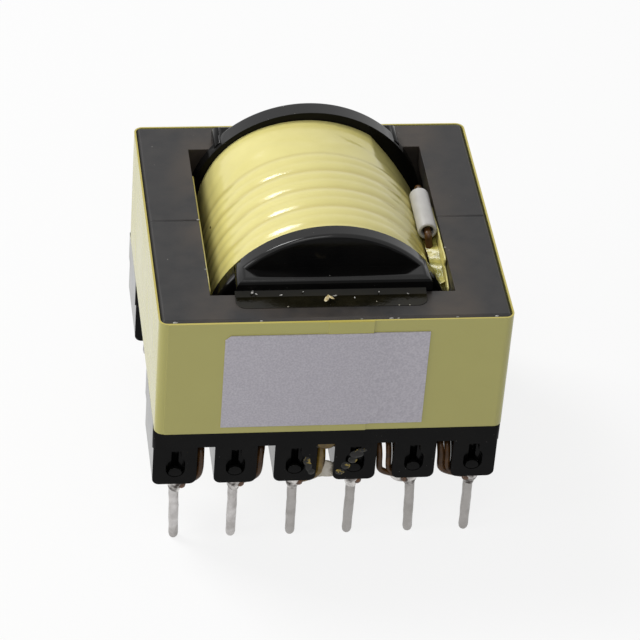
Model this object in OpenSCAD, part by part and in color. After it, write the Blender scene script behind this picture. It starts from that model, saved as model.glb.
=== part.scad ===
// Through-hole ferrite transformer: round-post core halves, moulded bobbin with
// twelve pins, wound and taped coil, core tape and label. Millimetres, +Z up.
// It stands on its pin tips at z = 0, with the origin under the middle of its box.

/* [Core] */
// Width of the core across its two outer legs
core_w = 28.5; // [26:0.1:31]
// Length of the two core halves together, along the coil
core_l = 27.7; // [26:0.1:30]
// Height of the core
core_h = 11.4; // [10:0.1:13]
// Width of the window between the legs, at the core's top face
window_w = 20; // [19:0.1:21]
// Length of the window between the yokes
window_l = 20.7; // [19.5:0.1:21.5]
// Diameter of the hollow that follows the coil in the legs' inner faces
leg_hollow_d = 21.5; // [21:0.1:22.5]
// Diameter of the round centre post
post_d = 9.9; // [9:0.1:10.1]
// Ground gap in the centre post
post_gap = 0.5; // [0.1:0.1:1.5]
// Bevel on the core's outer edges
core_bevel = 0.3; // [0.1:0.05:0.6]

/* [Bobbin] */
// Slack of the bobbin in the window, pushed against the rear yoke
bobbin_slip = 0.8; // [0:0.1:0.8]
// Side slack of the bobbin, pushed to the right
bobbin_side = 0.1; // [0:0.05:0.2]
// Bore of the winding tube
tube_bore = 10.3; // [10.2:0.1:10.6]
// Wall of the winding tube
tube_wall = 0.8; // [0.6:0.1:1.2]
// Diameter of the flanges
flange_d = 20.5; // [20:0.1:20.6]
// Thickness of each flange
flange_t = 1.4; // [1:0.05:1.4]
// Clear winding width between the flanges
winding_w = 16.3; // [15:0.1:16.3]
// Radius on the outer edge of a flange
flange_round = 0.35; // [0.2:0.05:0.6]
// Width of the ledge that lies over each yoke
ledge_w = 16; // [14:0.1:16.4]
// Height of the ledge's top above the core
ledge_h = 1.4; // [0.8:0.1:2]
// How far the ledge stands out from its flange
ledge_out = 1.6; // [1:0.05:1.7]

/* [Pin rails] */
// Overall width of a pin rail
rail_w = 29; // [28:0.1:30]
// Thickness of the rail's plate under the yoke
plate_t = 2.55; // [1.5:0.05:3]
// Height of the posts below the plate
post_h = 3.95; // [3:0.05:4.5]
// Width of one post
post_w = 3.55; // [3:0.05:4]
// Distance between neighbouring pins
pin_pitch = 5; // [5:0.02:5.08]
// Distance between the two rows of pins
row_pitch = 25; // [24:0.1:25.4]
// From the pins' row to the posts' outer faces
post_front = 0.97; // [0.9:0.01:1.2]
// Depth of a rail from its outer face towards the coil
rail_depth = 7.4; // [6.8:0.1:7.6]

/* [Pins] */
// Diameter of a pin, with its tin
pin_d = 0.84; // [0.6:0.02:1]
// Length of a pin below the posts
pin_out = 6.45; // [3.5:0.05:7]
// Height of the solder collar at a pin's foot
collar_h = 1.25; // [0.8:0.05:1.5]

/* [Coil] */
// Outer radius of the coil over its smooth band
coil_r = 9.45; // [9:0.05:9.5]
// How far the wire turns raise the wrap
ridge_h = 0.16; // [0.05:0.01:0.3]
// Distance between the ridges of the outer winding
ridge_pitch = 2.55; // [2:0.05:3]
// Thickness of the outer wrap
wrap_t = 0.2; // [0.1:0.05:0.3]

/* [Tape and label] */
// Thickness of the core tape
tape_t = 0.15; // [0.06:0.01:0.3]
// Width of the core tape
tape_w = 11.25; // [10:0.05:11.3]
// Thickness of the label
label_t = 0.1; // [0.05:0.01:0.2]
// Width of the label
label_w = 16.6; // [10:0.1:20]
// Height of the label
label_h = 9.35; // [5:0.05:10]

/* [Hidden] */
$fn = 64;
eps = 0.01;

// Heights, from the pin tips up
plate_z = pin_out + post_h;
core_z = plate_z + plate_t;
axis_z = core_z + core_h / 2;
core_top = core_z + core_h;
ledge_z = core_top + 0.08;

// Places across and along the coil's axis, with the whole part centred on the origin
left_reach = core_w / 2 + tape_t;
right_reach = bobbin_side + rail_w / 2;
core_x = (left_reach - right_reach) / 2;
bobbin_x = core_x + bobbin_side;
rail_face = row_pitch / 2 + post_front;
front_reach = core_l / 2 + tape_t + lap_t() + label_t;
rear_reach = bobbin_slip + rail_face;
core_y = (front_reach - rear_reach) / 2;
bobbin_y = core_y + bobbin_slip;
flange_in = winding_w / 2;
flange_out = flange_in + flange_t;
tube_r = tube_bore / 2 + tube_wall;

function lap_t() = 0.06;

// Pins 1 to 6 stand in the front row from left to right, 7 to 12 in the rear row
function pin_offset(n) = pin_pitch * (((n - 1) % 6) - 2.5);
function pin_x(n) = bobbin_x + pin_offset(n);
function row_sign(n) = n <= 6 ? -1 : 1;
function pin_y(n) = bobbin_y + row_sign(n) * row_pitch / 2;

// ---- Core -------------------------------------------------------------

core_corner = 0.6;

module rounded_rect(w, l, r) {
    square([w - 2 * r, l], center = true);
    square([w, l - 2 * r], center = true);
    for (x = [-1, 1], y = [-1, 1])
        translate([x * (w / 2 - r), y * (l / 2 - r)])
            circle(r);
}

module bevelled_rect(w, h, c) {
    polygon([
        [-w / 2 + c, -h / 2], [w / 2 - c, -h / 2], [w / 2, -h / 2 + c], [w / 2, h / 2 - c],
        [w / 2 - c, h / 2], [-w / 2 + c, h / 2], [-w / 2, h / 2 - c], [-w / 2, -h / 2 + c]
    ]);
}

// A bar along Y, from y0 to y1, whose section is drawn in X and Z
module along_y(y0, y1) {
    translate([0, y1, 0])
        rotate([90, 0, 0])
            linear_extrude(y1 - y0)
                children();
}

// The two halves as one closed ring with its post, centred on the axis
module core_body() {
    difference() {
        intersection() {
            translate([0, 0, -core_h / 2])
                linear_extrude(core_h)
                    rounded_rect(core_w, core_l, core_corner);
            along_y(-core_l, core_l)
                bevelled_rect(core_w, core_h, core_bevel);
            rotate([0, 0, 90])
                along_y(-core_w, core_w)
                    bevelled_rect(core_l, core_h, core_bevel);
        }
        cube([window_w, window_l, core_h + 2], center = true);
        along_y(-window_l / 2, window_l / 2)
            circle(d = leg_hollow_d, $fn = 128);
    }
}

// One half, with its share of the centre post and a fine bevel at the joint
module core_half() {
    joint_bevel = 0.16;
    difference() {
        intersection() {
            core_body();
            translate([-core_w, -core_l, -core_h])
                cube([2 * core_w, core_l, 2 * core_h]);
        }
        for (s = [-1, 1])
            translate([0, 0, s * core_h / 2])
                rotate([45, 0, 0])
                    cube([core_w + 2, joint_bevel, joint_bevel], center = true);
    }
    along_y(-window_l / 2 - eps, -post_gap / 2)
        circle(d = post_d);
}

module core_half_front() {
    color([0.17, 0.17, 0.18])
        translate([core_x, core_y, axis_z])
            core_half();
}

module core_half_rear() {
    color([0.16, 0.16, 0.17])
        translate([core_x, core_y, axis_z])
            rotate([0, 0, 180])
                core_half();
}

// ---- Core tape and label -------------------------------------------------

tape_z = core_top - 0.1 - tape_w;
lap_edge = 2.9;

// The band round the core. Its free end laps over the front from the left.
module core_tape() {
    outer_r = core_corner + tape_t;
    color([0.72, 0.71, 0.38])
        translate([core_x, core_y, tape_z]) {
            linear_extrude(tape_w)
                difference() {
                    rounded_rect(core_w + 2 * tape_t, core_l + 2 * tape_t, outer_r);
                    rounded_rect(core_w, core_l, core_corner);
                }
            translate([-core_w / 2 + core_corner, -core_l / 2 - tape_t - lap_t(), 0])
                cube([core_w / 2 - core_corner + lap_edge, lap_t() + eps, tape_w]);
        }
}

// A strip of paper that steps down over the end of the tape
module label() {
    label_x = -9.05;
    label_z = core_top - 1.3 - label_h;
    face = core_y - core_l / 2 - tape_t;
    color([0.74, 0.73, 0.78])
        translate([core_x, 0, label_z])
            linear_extrude(label_h)
                polygon([
                    [label_x, face - lap_t()],
                    [lap_edge, face - lap_t()],
                    [lap_edge, face],
                    [label_x + label_w, face],
                    [label_x + label_w, face - label_t],
                    [lap_edge + 0.3, face - label_t],
                    [lap_edge, face - lap_t() - label_t],
                    [label_x, face - lap_t() - label_t]
                ]);
}

// ---- Bobbin --------------------------------------------------------------

post_corner = 0.6;
recess_depth = 0.6;
recess_d = 1.6;

// Half section of a flange, from the tube out to its rounded edge
module flange_section() {
    r = flange_d / 2;
    square([r - flange_round, flange_t]);
    square([r, flange_t - flange_round]);
    translate([r - flange_round, flange_t - flange_round])
        intersection() {
            circle(flange_round);
            square(flange_round);
        }
}

// One end of the bobbin, for the front: built with its outer side towards +Z, then turned
module flange() {
    slot_w = pin_pitch - post_w;
    difference() {
        translate([0, -flange_in, 0])
            rotate([90, 0, 0])
                rotate_extrude($fn = 128)
                    flange_section();
        for (x = [-pin_pitch, 0, pin_pitch])
            translate([x - slot_w / 2, -flange_out - 1, -flange_d])
                cube([slot_w, flange_t + 2, flange_d + plate_z - axis_z]);
    }
}

// The ledge over the yoke: its ends are rounded seen from the front, like its front edge
module ledge() {
    end_r = 0.8;
    edge_r = 0.5;
    length = ledge_out + flange_t - 0.4;
    base = ledge_z - axis_z;
    height = ledge_h - 0.08;
    translate([0, -flange_out - ledge_out + length / 2, base])
        intersection() {
            along_y(-length, length) {
                translate([-ledge_w / 2, 0])
                    square([ledge_w, height - end_r]);
                translate([-ledge_w / 2 + end_r, 0])
                    square([ledge_w - 2 * end_r, height]);
                for (s = [-1, 1])
                    translate([s * (ledge_w / 2 - end_r), height - end_r])
                        circle(end_r);
            }
            rotate([0, 0, 90])
                along_y(-ledge_w, ledge_w) {
                    translate([-length / 2, 0])
                        square([length, height - edge_r]);
                    translate([-length / 2 + edge_r, 0])
                        square([length - edge_r, height]);
                    translate([-length / 2 + edge_r, height - edge_r])
                        circle(edge_r);
                }
        }
}

// Outline of one post seen from the front, from x0 to x1, its lower corners rounded off
module post_outline(x0, x1) {
    translate([x0, post_corner])
        square([x1 - x0, post_h - post_corner + eps]);
    translate([x0 + post_corner, 0])
        square([x1 - x0 - 2 * post_corner, post_h]);
    for (x = [x0 + post_corner, x1 - post_corner])
        translate([x, post_corner])
            circle(post_corner);
}

// The rail's plate seen from above, its two front corners rounded
module plate_outline(inner) {
    r = 0.3;
    translate([-rail_w / 2, -rail_face + r])
        square([rail_w, inner - r]);
    translate([-rail_w / 2 + r, -rail_face])
        square([rail_w - 2 * r, inner]);
    for (s = [-1, 1])
        translate([s * (rail_w / 2 - r), -rail_face + r])
            circle(r);
}

// Keyhole recess: a round-ended pocket with a narrower slot above it
module keyhole() {
    low = 1.55;
    rise = 0.6;
    translate([0, low])
        circle(d = recess_d);
    translate([-recess_d / 2, low])
        square([recess_d, rise]);
    translate([0, low + rise])
        circle(d = recess_d);
    translate([-0.45, low])
        square([0.9, 1.95]);
}

// A rail for the front row. The plate stands a little proud of the posts. The middle posts end
// under the flange, and the end posts are flush with the plate and reach in beside the coil.
module rail() {
    set_back = 0.1;
    y0 = -rail_face;
    inner = rail_face - flange_in;
    wing_w = rail_w / 2 - 10.7;
    outer_side = rail_w / 2 - set_back - 2.5 * pin_pitch;
    difference() {
        union() {
            translate([0, 0, plate_z])
                linear_extrude(plate_t)
                    plate_outline(inner);
            for (s = [-1, 1])
                translate([s * (rail_w - wing_w) / 2 - wing_w / 2, y0 + inner / 2, plate_z])
                    cube([wing_w, rail_depth - inner / 2, plate_t]);
            for (i = [-2.5:2.5])
                translate([pin_pitch * i, 0, pin_out])
                    along_y(y0 + set_back, y0 + (abs(i) > 2 ? rail_depth : inner))
                        post_outline(
                            i < -2 ? -outer_side : -post_w / 2,
                            i > 2 ? outer_side : post_w / 2
                        );
        }
        for (i = [-2.5:2.5])
            translate([pin_pitch * i, 0, pin_out]) {
                along_y(y0 - 1, y0 + set_back + recess_depth)
                    keyhole();
                translate([0, -row_pitch / 2, 0])
                    pin_root(-eps);
            }
    }
}

module bobbin_end() {
    translate([0, 0, axis_z]) {
        flange();
        ledge();
    }
    rail();
}

module bobbin() {
    color([0.1, 0.1, 0.105])
        translate([bobbin_x, bobbin_y, 0])
            difference() {
                union() {
                    bobbin_end();
                    rotate([0, 0, 180])
                        bobbin_end();
                    translate([0, 0, axis_z])
                        along_y(-flange_in - eps, flange_in + eps)
                            circle(tube_r, $fn = 96);
                }
                translate([0, 0, axis_z])
                    along_y(-flange_out - 1, flange_out + 1)
                        circle(d = tube_bore, $fn = 96);
            }
}

// ---- Pins and solder -----------------------------------------------------

root_side = 0.6;
root_len = 3.2;
tip_bevel = 0.15;
round_len = pin_out - collar_h;

// The square upper end that grips the moulding and carries the wire wraps
module pin_root(base) {
    translate([-root_side / 2, -root_side / 2, base])
        cube([root_side, root_side, root_len - base]);
}

module pin(n) {
    color([0.75, 0.74, 0.72])
        translate([pin_x(n), pin_y(n), 0]) {
            cylinder(h = tip_bevel, d1 = pin_d - 2 * tip_bevel, d2 = pin_d);
            translate([0, 0, tip_bevel])
                cylinder(h = round_len - tip_bevel, d = pin_d);
            translate([-root_side / 2, -root_side / 2, round_len - eps])
                cube([root_side, root_side, collar_h + root_len + eps]);
        }
}

// Solder with the wrapped wire end in it: wide under the post, narrow where it runs out
module solder_body(n) {
    waist_z = round_len + collar_h * 0.35;
    full_z = round_len + collar_h * 0.75;
    translate([pin_x(n), pin_y(n), 0])
        rotate_extrude($fn = 48)
            polygon([
                [0, round_len], [pin_d / 2 + 0.04, round_len], [pin_d / 2 + 0.28, waist_z],
                [pin_d / 2 + 0.52, full_z], [pin_d / 2 + 0.5, pin_out], [0, pin_out]
            ]);
}

module solder(n) {
    color([0.72, 0.71, 0.7])
        difference() {
            solder_body(n);
            translate([pin_x(n) - root_side / 2, pin_y(n) - root_side / 2, round_len - 1])
                cube([root_side, root_side, collar_h + 2]);
        }
}

// ---- Coil ----------------------------------------------------------------

inner_half = winding_w / 2 - 2;
layer_1 = tube_r + 1.05;
layer_2 = layer_1 + 0.15;
layer_3 = layer_2 + 1;
layer_4 = layer_3 + 0.15;
wound_r = coil_r - wrap_t;
ridge_count = 4;
ridge_end = 3.4;
ridge_start = ridge_end - ridge_count * ridge_pitch;
band_start = ridge_end + 0.5;
ridge_steps = 12;

// Height of the paired wires' outline at a place t along one pitch, 0 to 1
function twin(t) = 0.75 * abs(sin(180 * t)) + 0.25 * abs(sin(360 * t));

// Points of the wound surface, as [radius, place along the axis], offset outwards by add
function ridge_points(add) = [
    for (i = [0:ridge_count * ridge_steps])
        [wound_r + add + ridge_h * twin(i / ridge_steps), ridge_start + ridge_pitch * i / ridge_steps]
];

// A revolved layer round the coil's axis, its section drawn as [radius, place along Y]
module revolved() {
    translate([bobbin_x, bobbin_y, axis_z])
        rotate([-90, 0, 0])
            rotate_extrude($fn = 96)
                children();
}

module layer(r0, r1, y0, y1) {
    revolved()
        translate([r0, y0])
            square([r1 - r0, y1 - y0]);
}

module winding_inner() {
    color([0.72, 0.38, 0.2])
        layer(tube_r, layer_1, -inner_half, inner_half);
}

module insulation_inner() {
    color([0.8, 0.77, 0.4])
        layer(layer_1, layer_2, -inner_half, inner_half);
}

module winding_middle() {
    color([0.75, 0.42, 0.22])
        layer(layer_2, layer_3, -inner_half, inner_half);
}

module insulation_outer() {
    color([0.8, 0.77, 0.4])
        layer(layer_3, layer_4, -flange_in, flange_in);
}

module winding_outer() {
    color([0.74, 0.4, 0.2])
        revolved()
            polygon(concat(
                [[layer_4, band_start], [layer_4, ridge_start]],
                ridge_points(0),
                [[wound_r, band_start]]
            ));
}

module margin_tape_front() {
    color([0.86, 0.84, 0.6]) {
        layer(tube_r, layer_3, -flange_in, -inner_half);
        layer(layer_4, wound_r, -flange_in, ridge_start);
    }
}

module margin_tape_rear() {
    color([0.86, 0.84, 0.6]) {
        layer(tube_r, layer_3, inner_half, flange_in);
        layer(layer_4, wound_r, band_start, flange_in);
    }
}

// The outer wrap: a smooth band at the rear, then a ridge over each pair of wires
module coil_wrap() {
    inside = ridge_points(0);
    outside = ridge_points(wrap_t);
    last = len(outside) - 1;
    color([0.85, 0.82, 0.48])
        revolved()
            polygon(concat(
                [[wound_r, -flange_in]],
                inside,
                [[wound_r, flange_in], [coil_r, flange_in]],
                [for (i = [last:-1:0]) outside[i]],
                [[coil_r, -flange_in]]
            ));
}

// ---- Wires ---------------------------------------------------------------

sides = 8;
wire_steps = 3;

function unit(v) = v / norm(v);

// Smooth curve through the points p: the stretch after point i, at t from 0 to 1
function spline(p, i, t) =
    let (a = p[max(i - 1, 0)], b = p[i], c = p[i + 1], d = p[min(i + 2, len(p) - 1)])
    0.5 * (2 * b + (c - a) * t + (2 * a - 5 * b + 4 * c - d) * t * t
        + (3 * b - a - 3 * c + d) * t * t * t);

function route(p) = [
    for (i = [0:len(p) - 2], k = [0:wire_steps - 1]) spline(p, i, k / wire_steps),
    p[len(p) - 1]
];

// A round wire swept along the smooth route through its points
module wire(points, d) {
    path = route(points);
    last = len(path) - 1;
    lean = [1, -1.3, 0.6];
    rings = [
        for (i = [0:last])
            let (
                t = unit(path[min(i + 1, last)] - path[max(i - 1, 0)]),
                u = unit(cross(t, lean)),
                v = cross(t, u)
            )
            for (k = [0:sides - 1])
                path[i] + d / 2 * (cos(360 * k / sides) * u + sin(360 * k / sides) * v)
    ];
    walls = [
        for (i = [0:last - 1], k = [0:sides - 1])
            let (a = i * sides, b = (k + 1) % sides)
            each [[a + k, a + sides + b, a + b], [a + k, a + sides + k, a + sides + b]]
    ];
    first_cap = [for (k = [1:sides - 2]) [0, k, k + 1]];
    last_cap = [for (k = [1:sides - 2]) [last * sides, last * sides + k + 1, last * sides + k]];
    polyhedron(points = rings, faces = concat(walls, first_cap, last_cap));
}

// Lead n of one rail, from under the coil through the slot at slot_x, then down the side of
// its pin's post and round the post's corner. s is -1 for the front rail, 1 for the rear one.
function lead_points(slot_x, n, d) =
    let (
        s = row_sign(n),
        side = sign(slot_x - pin_offset(n)),
        outer = abs(slot_x) > 8,
        touch = coil_r + d / 2 + 0.03,
        wide_x = outer ? sign(slot_x) * 7.1 : slot_x,
        drop = max(sqrt(touch * touch - wide_x * wide_x), outer ? 0 : axis_z - plate_z + d / 2 + 0.06),
        reach_x = sign(slot_x) * sqrt(max(0, touch * touch - drop * drop)),
        start_z = axis_z - drop,
        leave_x = outer ? slot_x * 0.98 : reach_x,
        y_coil = bobbin_y + s * (flange_in - 0.8),
        y_leave = bobbin_y + s * (flange_in - (outer ? 0.4 : 0)),
        y_pin = pin_y(n),
        corner_x = pin_offset(n) + side * (post_w / 2 - post_corner),
        corner_z = pin_out + post_corner,
        wide = post_corner + d / 2 + 0.05
    )
    [
        [reach_x, y_coil, start_z],
        [leave_x, y_leave, outer ? plate_z - 0.2 : start_z],
        [slot_x, bobbin_y + s * (flange_out + 0.7), plate_z - 0.9],
        [corner_x + side * wide, y_pin - s * 0.4, plate_z - 1.1],
        [corner_x + side * wide, y_pin, plate_z - 2],
        [corner_x + side * wide, y_pin, corner_z + 0.3],
        [corner_x + side * 0.72 * wide, y_pin, corner_z - 0.72 * wide],
        [corner_x - side * 0.1, y_pin, corner_z - wide],
        [pin_offset(n) + side * 0.5, y_pin, pin_out - 0.62]
    ];

module lead(slot_x, n, d, tint) {
    color(tint)
        difference() {
            translate([bobbin_x, 0, 0])
                wire(lead_points(slot_x, n, d), d);
            solder_body(n);
        }
}

brown = [0.42, 0.24, 0.12];
amber = [0.72, 0.5, 0.16];

// ---- Lead sleeve, tape tail and varnish ----------------------------------

sleeve_d = 1.6;
sleeve_bore = 1.05;
sleeve_x = core_x + 8.97;
sleeve_z = axis_z + 5.5;
sleeve_front = core_y - 2.2;
sleeve_rear = core_y + 4;
sleeved_d = 0.7;

module lead_sleeve() {
    color([0.88, 0.88, 0.86])
        translate([sleeve_x, 0, sleeve_z])
            along_y(sleeve_front, sleeve_rear)
                difference() {
                    circle(d = sleeve_d);
                    circle(d = sleeve_bore);
                }
}

// The wire in the sleeve: from the coil's front, back beside the coil, then down to the last pin
module sleeved_lead() {
    corner_x = pin_x(12) - post_w / 2 + post_corner;
    corner_z = pin_out + post_corner;
    wide = post_corner + sleeved_d / 2 + 0.05;
    color(brown)
        difference() {
            wire([
                [7.95, core_y - 7, axis_z + 6.05],
                [8.4, core_y - 4.6, axis_z + 5.72],
                [sleeve_x, sleeve_front - 0.2, sleeve_z],
                [sleeve_x, core_y + 0.9, sleeve_z],
                [sleeve_x, sleeve_rear + 0.2, sleeve_z],
                [9.5, core_y + 6.4, axis_z + 3.4],
                [10, core_y + 7.3, axis_z],
                [9.45, core_y + 7.4, axis_z - 4],
                [8.6, core_y + 7.6, core_z - 0.7],
                [10, core_y + 9.4, plate_z - 0.9],
                [corner_x - wide, pin_y(12) - 0.4, plate_z - 1.1],
                [corner_x - wide, pin_y(12), plate_z - 2],
                [corner_x - wide, pin_y(12), corner_z + 0.3],
                [corner_x - 0.72 * wide, pin_y(12), corner_z - 0.72 * wide],
                [corner_x + 0.1, pin_y(12), corner_z - wide],
                [pin_x(12) - 0.5, pin_y(12), pin_out - 0.62]
            ], sleeved_d);
            solder_body(12);
        }
}

// A strip of tape on the inner face of the left leg, just below the core's top
module leg_tape() {
    strip_t = 0.1;
    color([0.74, 0.72, 0.36])
        translate([core_x - window_w / 2, core_y - 9.6, axis_z + 4])
            cube([strip_t, 16.1, 1.6]);
}

// The wrap's loose end: it leaves the coil beside the axis and stands up along the right leg,
// with a narrow tongue past the flange
module tape_tail() {
    strip_t = 0.12;
    color([0.74, 0.72, 0.36])
        translate([core_x, core_y, axis_z])
            intersection() {
                along_y(-core_l, core_l)
                    polygon([
                        [9.72, -0.6], [9.72, 0.4], [9.74, 2.5], [9.8, 4.2], [9.8, 6],
                        [9.8 + strip_t, 6], [9.8 + strip_t, 4.2], [9.74 + strip_t, 2.5],
                        [9.72 + strip_t, 0.4], [9.72 + strip_t, -0.6]
                    ]);
                rotate([90, 0, 90])
                    linear_extrude(core_w)
                        polygon([
                            [1.9, 5.3], [-2.2, 5.55], [-5.9, 5.55], [-5.8, 4.85], [-8.4, 4.45],
                            [-8.4, 3.95], [-7.2, 3.9], [-7.2, -0.6], [1.4, -0.6]
                        ]);
            }
}

// Varnish run out over the front yoke from the ledge's foot
module varnish_bead() {
    foot = core_y - window_l / 2;
    run = 1.9;
    foot_h = 0.4;
    color([0.09, 0.085, 0.05])
        intersection() {
            translate([core_x - 0.25, foot, core_top])
                linear_extrude(foot_h)
                    rounded_rect(15.6, 2 * run, 0.9);
            rotate([0, 0, 90])
                along_y(-core_w, core_w)
                    translate([foot, core_top])
                        polygon([[-run, 0], [0, 0], [0, foot_h], [-0.5, 0.13], [-run, 0.04]]);
        }
}

// Amber varnish hung in the middle slot of the front rail, round the lead
module varnish_drip() {
    gap = pin_pitch - post_w;
    drip_y = bobbin_y - row_pitch / 2 + 0.5;
    color(amber)
        translate([bobbin_x, 0, 0])
            difference() {
                intersection() {
                    translate([-gap / 2, drip_y - 1.1, plate_z - 1.7])
                        cube([gap, 2.2, 1.7]);
                    translate([0, drip_y, plate_z])
                        sphere(1.35);
                }
                wire(lead_points(0, 3, thick), thick);
            }
}

thin = 0.6;
thick = 0.8;

// ---- Assembly ------------------------------------------------------------

core_half_front();
core_half_rear();
core_tape();
label();
bobbin();
pin(1);  // pin_1
pin(2);  // pin_2
pin(3);  // pin_3
pin(4);  // pin_4
pin(5);  // pin_5
pin(6);  // pin_6
pin(7);  // pin_7
pin(8);  // pin_8
pin(9);  // pin_9
pin(10);  // pin_10
pin(11);  // pin_11
pin(12);  // pin_12
solder(1);  // solder_1
solder(2);  // solder_2
solder(3);  // solder_3
solder(4);  // solder_4
solder(5);  // solder_5
solder(6);  // solder_6
solder(7);  // solder_7
solder(8);  // solder_8
solder(9);  // solder_9
solder(10);  // solder_10
solder(11);  // solder_11
solder(12);  // solder_12
winding_inner();
insulation_inner();
winding_middle();
insulation_outer();
winding_outer();
margin_tape_front();
margin_tape_rear();
coil_wrap();
lead(-10, 1, thin, brown);  // lead_1
lead(-5, 2, thin, brown);  // lead_2
lead(0, 3, thick, amber);  // lead_3
lead(5, 5, thin, brown);  // lead_4
lead(10, 6, thin, brown);  // lead_5
lead(-10, 7, thin, brown);  // lead_6
lead(-5, 8, thin, brown);  // lead_7
lead(0, 10, thin, brown);  // lead_8
lead(5, 11, thin, brown);  // lead_9
lead_sleeve();
sleeved_lead();
leg_tape();
tape_tail();
varnish_bead();
varnish_drip();
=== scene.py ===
import math

import bmesh
import bpy
from mathutils import Matrix, Vector


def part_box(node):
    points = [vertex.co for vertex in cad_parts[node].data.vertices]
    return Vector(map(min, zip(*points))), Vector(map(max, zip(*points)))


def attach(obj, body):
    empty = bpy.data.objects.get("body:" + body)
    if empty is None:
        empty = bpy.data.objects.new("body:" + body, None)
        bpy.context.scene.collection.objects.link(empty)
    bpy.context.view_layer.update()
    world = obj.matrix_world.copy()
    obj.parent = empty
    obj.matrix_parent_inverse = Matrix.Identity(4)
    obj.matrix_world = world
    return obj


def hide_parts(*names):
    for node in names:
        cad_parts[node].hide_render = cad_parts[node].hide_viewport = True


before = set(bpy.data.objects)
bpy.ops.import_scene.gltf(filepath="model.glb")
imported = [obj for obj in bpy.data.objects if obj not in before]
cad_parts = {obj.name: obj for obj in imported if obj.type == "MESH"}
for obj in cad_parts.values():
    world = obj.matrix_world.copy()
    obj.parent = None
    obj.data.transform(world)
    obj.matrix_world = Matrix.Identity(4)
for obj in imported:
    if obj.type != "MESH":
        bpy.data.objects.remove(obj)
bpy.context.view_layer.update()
MM = 0.001

# ---- Camera, floor and lamps ---------------------------------------------------
# The transformer stands on its pin tips on pale paper under soft studio lamps.
# A long lens looks down on it from the front, a little from the left.
scene = bpy.context.scene
scene.view_settings.view_transform = "Standard"

camera_turn, camera_rise, camera_roll = (math.radians(a) for a in (-9.604, 37.227, 4.64))
camera_distance = 0.26955
camera_aim = Vector((-0.146, -5.227, 17.628)) * MM
lens = 181.93

camera_back = Vector((
    math.sin(camera_turn) * math.cos(camera_rise),
    -math.cos(camera_turn) * math.cos(camera_rise),
    math.sin(camera_rise),
))
level_right = Vector((math.cos(camera_turn), math.sin(camera_turn), 0))
level_up = camera_back.cross(level_right)
camera_right = level_right * math.cos(camera_roll) + level_up * math.sin(camera_roll)
camera_up = level_up * math.cos(camera_roll) - level_right * math.sin(camera_roll)
bpy.ops.object.camera_add(location=camera_aim + camera_back * camera_distance)
camera = bpy.context.object
camera.rotation_euler = Matrix((camera_right, camera_up, camera_back)).transposed().to_euler()
camera.data.lens = lens
camera.data.clip_start = 0.01
scene.camera = camera


def add_node(tree, kind, links=(), **settings):
    """Adds a shader node. links pairs an input with a value, or with the output that feeds it."""
    node = tree.nodes.new("ShaderNode" + kind)
    for setting, value in settings.items():
        setattr(node, setting, value)
    for socket, value in dict(links).items():
        if isinstance(value, bpy.types.NodeSocket):
            tree.links.new(value, node.inputs[socket])
        else:
            node.inputs[socket].default_value = value
    return node


def maths(tree, operation, *values, **settings):
    """The output of a maths node that works on the values or outputs given."""
    node = add_node(tree, "Math", enumerate(values), operation=operation, **settings)
    return node.outputs[0]


def white_to_eye(tree, shaded, share, white, output):
    """Mixes plain white into what the camera and mirror rays see, by share."""
    path = add_node(tree, "LightPath").outputs
    seen = maths(tree, "MAXIMUM", path["Is Camera Ray"], path["Is Glossy Ray"])
    seen = maths(tree, "MAXIMUM", seen, path["Is Transmission Ray"])
    part = maths(tree, "MULTIPLY", seen, share)
    glow = add_node(tree, white, {"Color": (1, 1, 1, 1), "Strength": 1})
    mixed = add_node(tree, "MixShader", {0: part, 1: shaded.outputs[0], 2: glow.outputs[0]})
    add_node(tree, output, {"Surface": mixed.outputs[0]})


# The floor lies just clear of the tips of the pins that lean
floor_size = 4
floor_drop = 0.04 * MM
floor_whiteness = 0.84
bpy.ops.mesh.primitive_plane_add(size=floor_size, location=(0, 0, -floor_drop))
paper_floor = bpy.context.object
paper_floor.name = "paper_floor"
paper = bpy.data.materials.new("floor_paper")
paper.use_nodes = True
paper.node_tree.nodes.clear()
matt = add_node(paper.node_tree, "BsdfDiffuse", {"Color": (0.86, 0.86, 0.86, 1)})
white_to_eye(paper.node_tree, matt, floor_whiteness, "Emission", "OutputMaterial")
paper_floor.data.materials.append(paper)

world = bpy.data.worlds.new("studio")
scene.world = world
world.use_nodes = True
world.node_tree.nodes.clear()
ambient = add_node(world.node_tree, "Background", {"Color": (1, 1, 1, 1), "Strength": 0.28})
white_to_eye(world.node_tree, ambient, 1, "Background", "OutputWorld")


def softbox(name, place, size, watts):
    """A square area lamp at place, facing the transformer."""
    bpy.ops.object.light_add(type="AREA", location=place)
    lamp = bpy.context.object
    lamp.name = name
    to_middle = Vector((0, 0, 0.018)) - Vector(place)
    lamp.rotation_euler = to_middle.to_track_quat("-Z", "Y").to_euler()
    lamp.data.size = size
    lamp.data.energy = watts


softbox("softbox_top_left", (-0.28, 0.2, 0.47), size=0.21, watts=2.0)
softbox("softbox_top_front", (-0.1, -0.35, 0.55), size=0.3, watts=0.7)
softbox("softbox_left", (-0.5, -0.15, 0.2), size=0.25, watts=0.8)

# ---- Bobbin --------------------------------------------------------------------
# One glossy black phenolic moulding: the winding tube, two round flanges, the ledges that
# lie over the yokes and the two pin rails. Its outer edges are slightly rounded by the mould.
mould_round = 0.09 * MM
core_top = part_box("core_half_front")[1].z
ledge_top = core_top + 1.45 * MM
rail_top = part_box("core_half_front")[0].z
rear_rim_from = 9 * MM
rear_rim_extra = 0.35 * MM
rear_ledge_from = 8.5 * MM
BLACK = (0.0022, 0.0022, 0.0024)
FADED_BLACK = (0.006, 0.0057, 0.0054)


def middle_of(node):
    """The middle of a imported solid's box."""
    low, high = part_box(node)
    return (low + high) / 2


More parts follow.
